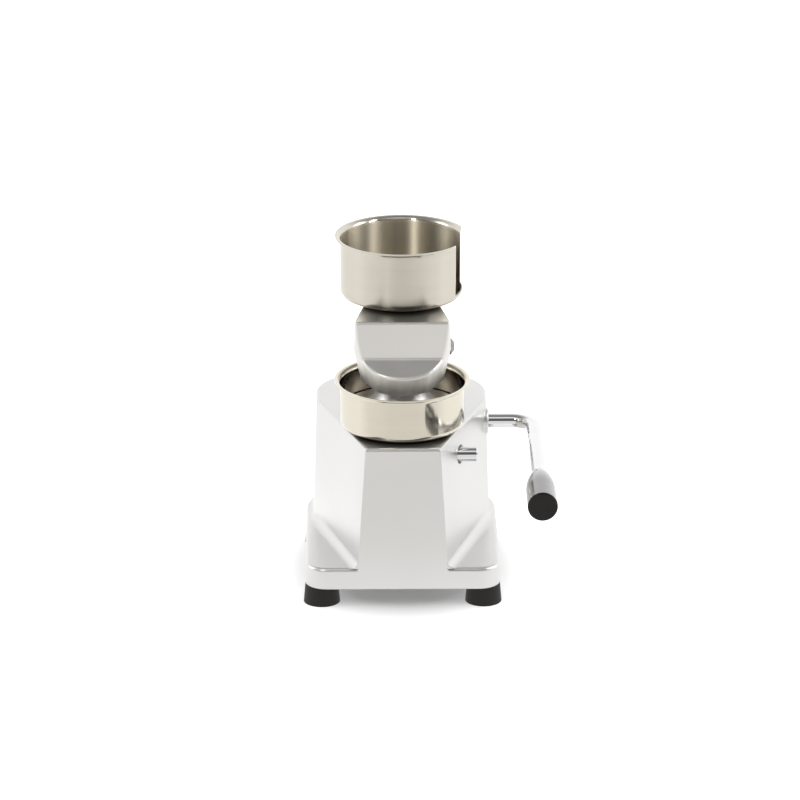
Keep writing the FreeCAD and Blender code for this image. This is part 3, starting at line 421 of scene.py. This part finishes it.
LOOKS = {
    "cast_body": cast_aluminium("cast_body_satin", pale=(0.72, 0.715, 0.705), deep=(0.645, 0.64, 0.63),
                                shine=0.30, painted_shade=painted_shade_on_deck),
    "cast_arm": cast_aluminium("cast_arm_satin", pale=(0.765, 0.75, 0.72), deep=(0.675, 0.66, 0.63),
                               shine=0.30, painted_shade=painted_shade_on_arm, nose=0.17),
    # Inside each bore the colour is painted: shade in the bowl, darker than its outside, and light in the
    # holder, paler than its outside
    "bowl": spun_steel("bowl_polished", BOWL_AXIS, pale=(0.70, 0.66, 0.57), deep=(0.62, 0.58, 0.49),
                       shine=0.05, turned=0.2,
                       inside=(0.36, 0.31, 0.24), bore=BOWL_BORE, inner_shine=0.12),
    "holder": spun_steel("holder_polished", HOLDER_AXIS, pale=(0.60, 0.57, 0.50), deep=(0.53, 0.50, 0.43),
                         shine=0.12, turned=1.0,
                         inside=(0.92, 0.83, 0.66), bore=HOLDER_BORE, inner_shine=0.42),
    "polished_plate": spun_steel("plate_turned", BOWL_AXIS, pale=(0.93, 0.92, 0.90), deep=(0.84, 0.83, 0.81),
                                 shine=0.36, turned=0.5),
    "chrome": plated_steel("chrome_plated", pale=(0.76, 0.76, 0.77), deep=(0.68, 0.68, 0.69)),
    "bolt": plated_steel("bolt_plated", pale=(0.32, 0.32, 0.33), deep=(0.24, 0.24, 0.25)),
    "grip": moulded_black("grip_plastic", pale=(0.012, 0.010, 0.010), deep=(0.005, 0.004, 0.004),
                          shine=0.16, grain=0.02, scale=900.0),
    "rubber": moulded_black("foot_rubber", pale=(0.020, 0.017, 0.015), deep=(0.010, 0.008, 0.007),
                            shine=0.50, grain=0.20, scale=1300.0),
    "bronze": ground_metal("bush_bronze", pale=(0.62, 0.45, 0.23), deep=(0.48, 0.32, 0.15), shine=0.22),
    "steel": ground_metal("ground_steel", pale=(0.60, 0.60, 0.61), deep=(0.45, 0.45, 0.46), shine=0.24),
}

# The pieces whose look is not the one that their slot names
OWN_LOOKS = {"forming_bowl": "bowl", "paper_holder": "holder", "cross_bolt": "bolt"}


def polish_grip():
    """A hard shine on the grip's sides, which its flat end lacks."""
    look = LOOKS["grip"]
    along = look.split(look.place())[1]
    look.feed("Coat IOR", 2.2)
    look.feed("Coat Roughness", 0.10)
    look.feed("Coat Weight", along.past(GRIP_END, steep=2000.0))


def dress_nodes():
    """Give every solid its own look or the look of its slot."""
    for entry in frame["record"]["subparts"]:
        node = NODES[entry["node"]]
        look = LOOKS[OWN_LOOKS.get(entry["node"], entry["material_slot"])]
        node.data.materials.clear()
        node.data.materials.append(look.material)


def add_to_scene(name, data):
    """A new object of the scene, from its mesh, lamp or lens."""
    thing = bpy.data.objects.new(name, data)
    bpy.context.scene.collection.objects.link(thing)
    return thing


def tower_path():
    """The tower's plan at the plinth's top, right half, front to back: points, outward directions, batter.

    The flank is the straight line from the panel's corner to the shoulder, the side is straight to the rear
    corner, and the rear corner is the arc c + R (cos t, sin t).
    """
    lean = math.atan2(TOWER_HALF - PANEL_HALF, SHOULDER_Y + PLINTH_FRONT)
    panel_corner = np.array([PANEL_HALF, -PLINTH_FRONT])
    shoulder = np.array([TOWER_HALF, SHOULDER_Y])
    side_end = np.array([TOWER_HALF, TOWER_BACK - TOWER_CORNER])
    along = np.linspace(0.0, 1.0, STRAIGHT_STEPS)[:, None]
    flank = panel_corner * (1 - along) + shoulder * along
    side = shoulder * (1 - along) + side_end * along
    turn = np.linspace(0.0, math.pi / 2, CORNER_STEPS)
    ring = np.stack([np.cos(turn), np.sin(turn)], axis=1)
    corner = side_end - [TOWER_CORNER, 0.0] + TOWER_CORNER * ring
    points = np.concatenate([flank[:-SHOULDER_CUT], side[SHOULDER_CUT:], corner[1:], [[0.0, TOWER_BACK]]])
    kept = STRAIGHT_STEPS - SHOULDER_CUT
    from_flank = np.tile([math.cos(lean), -math.sin(lean)], (kept, 1))
    from_side = np.tile([1.0, 0.0], (kept, 1))
    outward = np.concatenate([from_flank, from_side, ring[1:], [[0.0, 1.0]]])
    flank_batter = np.linspace(FRONT_BATTER, SIDE_BATTER, kept)
    side_batter = np.full(kept, SIDE_BATTER)
    batter = np.concatenate([flank_batter, side_batter, SIDE_BATTER * ring[1:, 0], [0.0]])
    return points, outward, batter


def room_on_plinth(points, outward):
    """How far each point can move outward, up to the blend's reach, and stay on the plinth's flat top."""
    reach = np.linspace(0.0, BLEND_REACH, REACH_STEPS)
    places = points[:, None] + reach[:, None] * outward[:, None]
    corner = [PLINTH_HALF - PLINTH_CORNER, PLINTH_BACK - PLINTH_CORNER]
    over_x, over_y = np.moveaxis(np.maximum(places - corner, 0.0), 2, 0)
    on_top = np.hypot(over_x, over_y) <= PLINTH_CORNER
    return (reach * on_top).max(axis=1)


def make_root_blend():
    """The hollow rounding between tower and plinth, as a strip on each side with a flat cap at the panel.

    From each point p of the plan, with outward direction n, batter b and room w, the section is
    p + (w (1 - sin t) - b z) n, at height z = h (1 - cos t), for t from 0 to 90 degrees.
    """
    points, outward, batter = tower_path()
    turn = np.linspace(0.0, math.pi / 2, BLEND_STEPS)
    rise = BLEND_REACH * (1 - np.cos(turn))
    reach = np.outer(room_on_plinth(points, outward), 1 - np.sin(turn)) - np.outer(batter, rise)
    plan = points[:, None] + reach[..., None] * outward[:, None]
    plan[..., 1] = np.maximum(plan[..., 1], -PLINTH_FRONT)
    count, ring = reach.shape
    rows = np.concatenate([plan, np.broadcast_to(rise[:, None], (count, ring, 1))], axis=2)
    first = (np.arange(count - 1)[:, None] * ring + np.arange(ring - 1)).ravel()
    strip = np.stack([first, first + 1, first + ring + 1, first + ring], axis=1)
    cap = np.concatenate([rows[0], [[PANEL_HALF - CAP_DEPTH, -PLINTH_FRONT, -CAP_DEPTH]]])
    cap_face = list(range(count * ring, count * ring + len(cap)))
    for side, name in ((1, "root_blend_right"), (-1, "root_blend_left")):
        place = np.concatenate([rows.reshape(-1, 3), cap]) * [side, 1, 1]
        place = place / MM + [BOWL_AXIS[0], BOWL_AXIS[1], PLINTH_TOP]
        mesh = bpy.data.meshes.new(name)
        mesh.from_pydata(place.tolist(), [], strip[:, ::-side].tolist() + [cap_face[::side]])
        mesh.polygons.foreach_set("use_smooth", [True] * len(strip) + [False])
        mesh.materials.append(LOOKS["cast_body"].material)
        blend = add_to_scene(name, mesh)
        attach(blend, "base")


def make_press_arm():
    """The arm's casting with tapered cheeks.

    A point at |x| from the middle moves inward by C s(z) w(y) min(|x| / B, 1), where s runs from 0 at the top
    to 1 at the parting line, and w from 0 beside the bolt to 1 at the front face.
    """
    form = bmesh.new()
    form.from_mesh(NODES["press_arm"].data)
    bmesh.ops.remove_doubles(form, verts=form.verts, dist=SAME_PLACE)
    mesh = bpy.data.meshes.new("press_arm_casting")
    form.to_mesh(mesh)
    form.free()
    place = np.empty(3 * len(mesh.vertices))
    mesh.vertices.foreach_get("co", place)
    place = place.reshape(-1, 3)
    x, y, z = ((place - [BOWL_AXIS[0], BOWL_AXIS[1], 0.0]) * MM).T
    ahead = np.clip((y - CHEEK_Y[0]) / (CHEEK_Y[1] - CHEEK_Y[0]), 0.0, 1.0)
    below = np.clip((z - CHEEK_Z[0]) / (CHEEK_Z[1] - CHEEK_Z[0]), 0.0, 1.0)
    inward = CHEEK_CUT * ahead * below * np.minimum(np.abs(x) / CHEEK_SPREAD, 1.0)
    place[:, 0] -= np.sign(x) * inward / MM
    mesh.vertices.foreach_set("co", place.ravel())
    mesh.polygons.foreach_set("use_smooth", [True] * len(mesh.polygons))
    mesh.set_sharp_from_angle(angle=CREASE)
    mesh.materials.clear()
    mesh.materials.append(LOOKS["cast_arm"].material)
    arm = add_to_scene("press_arm_casting", mesh)
    even = arm.modifiers.new("even_faces", "WEIGHTED_NORMAL")
    even.keep_sharp = True
    even.weight = 100
    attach(arm, "press_arm")
    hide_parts("press_arm")


def make_floor():
    """A pale floor that keeps a soft shadow near the press and is white farther away."""
    corners = np.array([[-1, -1, 0], [1, -1, 0], [1, 1, 0], [-1, 1, 0]]) * FLOOR_HALF
    mesh = bpy.data.meshes.new("floor")
    mesh.from_pydata(corners.tolist(), [], [[0, 1, 2, 3]])
    floor = add_to_scene("floor", mesh)
    look = Look("floor_pale", Roughness=0.9, Specular_IOR_Level=0.0, Emission_Strength=1.0)
    x, y, _ = look.split(look.place())
    across, along = (x - BOWL_AXIS[0]) * SHADOW_NARROW, y - BOWL_AXIS[1] - SHADOW_BACK
    away = (across * across + along * along) ** 0.5
    watched = look.seen_by_camera()
    look.feed("Base Color", look.mix(watched, FLOOR_DULL, FLOOR_PAINT))
    shown = look.mix(away.past(SHADOW_EDGE, steep=11.0), FLOOR_NEAR, FLOOR_FAR)
    mirrored = look.mix(away.past(GLOW_EDGE, steep=1.6), FLOOR_MIRRORED, FLOOR_BESIDE)
    before = y.past(BEFORE_REAR, steep=-6.0) * look.maths("ABSOLUTE", x).past(BEFORE_SIDE, steep=-1.1)
    mirrored = look.mix(before, mirrored, FLOOR_BEFORE)
    left = x.past(LEFT_NEAR, steep=-20.0) * x.past(LEFT_FAR, steep=9.0) * y.past(LEFT_FRONT, steep=6.0)
    mirrored = look.mix(left, mirrored, FLOOR_LEFT)
    look.feed("Emission Color", look.mix(watched, mirrored, shown))
    mesh.materials.append(look.material)


def make_world():
    """White to the camera; to all else bright walls, a dim band before the press and a bright patch above."""
    world = bpy.data.worlds.new("studio")
    bpy.context.scene.world = world
    world.use_nodes = True
    studio = Graph(world.node_tree)
    _, along, height = studio.split(studio.node("ShaderNodeTexCoord", output="Generated"))

    def wall(sky):
        """The grey of one wall at each height."""
        stops = [(place, (level, level, level)) for place, level in sky]
        return studio.node("ShaderNodeValToRGB", {"stops": stops}, {"Fac": height})

    behind = along.past(FRONT_EDGE, steep=1.0 / (REAR_EDGE - FRONT_EDGE))
    walls = studio.mix(behind, wall(FRONT_SKY), wall(REAR_SKY))
    seen = studio.mix(studio.seen_by_camera(), walls, (1.0, 1.0, 1.0))
    studio.join(seen, world.node_tree.nodes["Background"].inputs["Color"])


def add_lamp(name, place, size, watts):
    """A soft box that faces the press."""
    lamp = bpy.data.lights.new(name, "AREA")
    lamp.shape = "RECTANGLE"
    lamp.size, lamp.size_y = size
    lamp.energy = watts
    box = add_to_scene(name, lamp)
    box.location = place
    box.rotation_euler = (AIM - Vector(place)).to_track_quat("-Z", "Y").to_euler()


def set_camera():
    """The photograph's view, from its turn, height, distance and scale."""
    turn, rise = math.radians(CAMERA_TURN), math.radians(CAMERA_RISE)
    lens = bpy.data.cameras.new("camera")
    lens.lens = lens.sensor_width * CAMERA_AWAY / (METRES_PER_PIXEL * IMAGE_WIDTH)
    lens.clip_end = 50.0
    camera = add_to_scene("camera", lens)
    away = Vector((math.sin(turn) * math.cos(rise), -math.cos(turn) * math.cos(rise), math.sin(rise)))
    camera.location = AIM + away * CAMERA_AWAY
    camera.rotation_euler = (-away).to_track_quat("-Z", "Y").to_euler()
    bpy.context.scene.camera = camera


dress_nodes()
polish_grip()
make_root_blend()
make_press_arm()
make_floor()
make_world()
add_lamp("left_box", place=(-1.7, 0.2, 1.2), size=(0.7, 1.2), watts=6.0)
add_lamp("right_box", place=(1.7, 0.2, 1.2), size=(0.7, 1.2), watts=6.0)
add_lamp("left_strip", place=(-0.82, -1.42, 1.7), size=(0.18, 1.0), watts=8.0)
add_lamp("right_strip", place=(1.5, -0.65, 1.7), size=(0.18, 1.0), watts=8.0)
set_camera()
bpy.context.scene.view_settings.view_transform = "Standard"
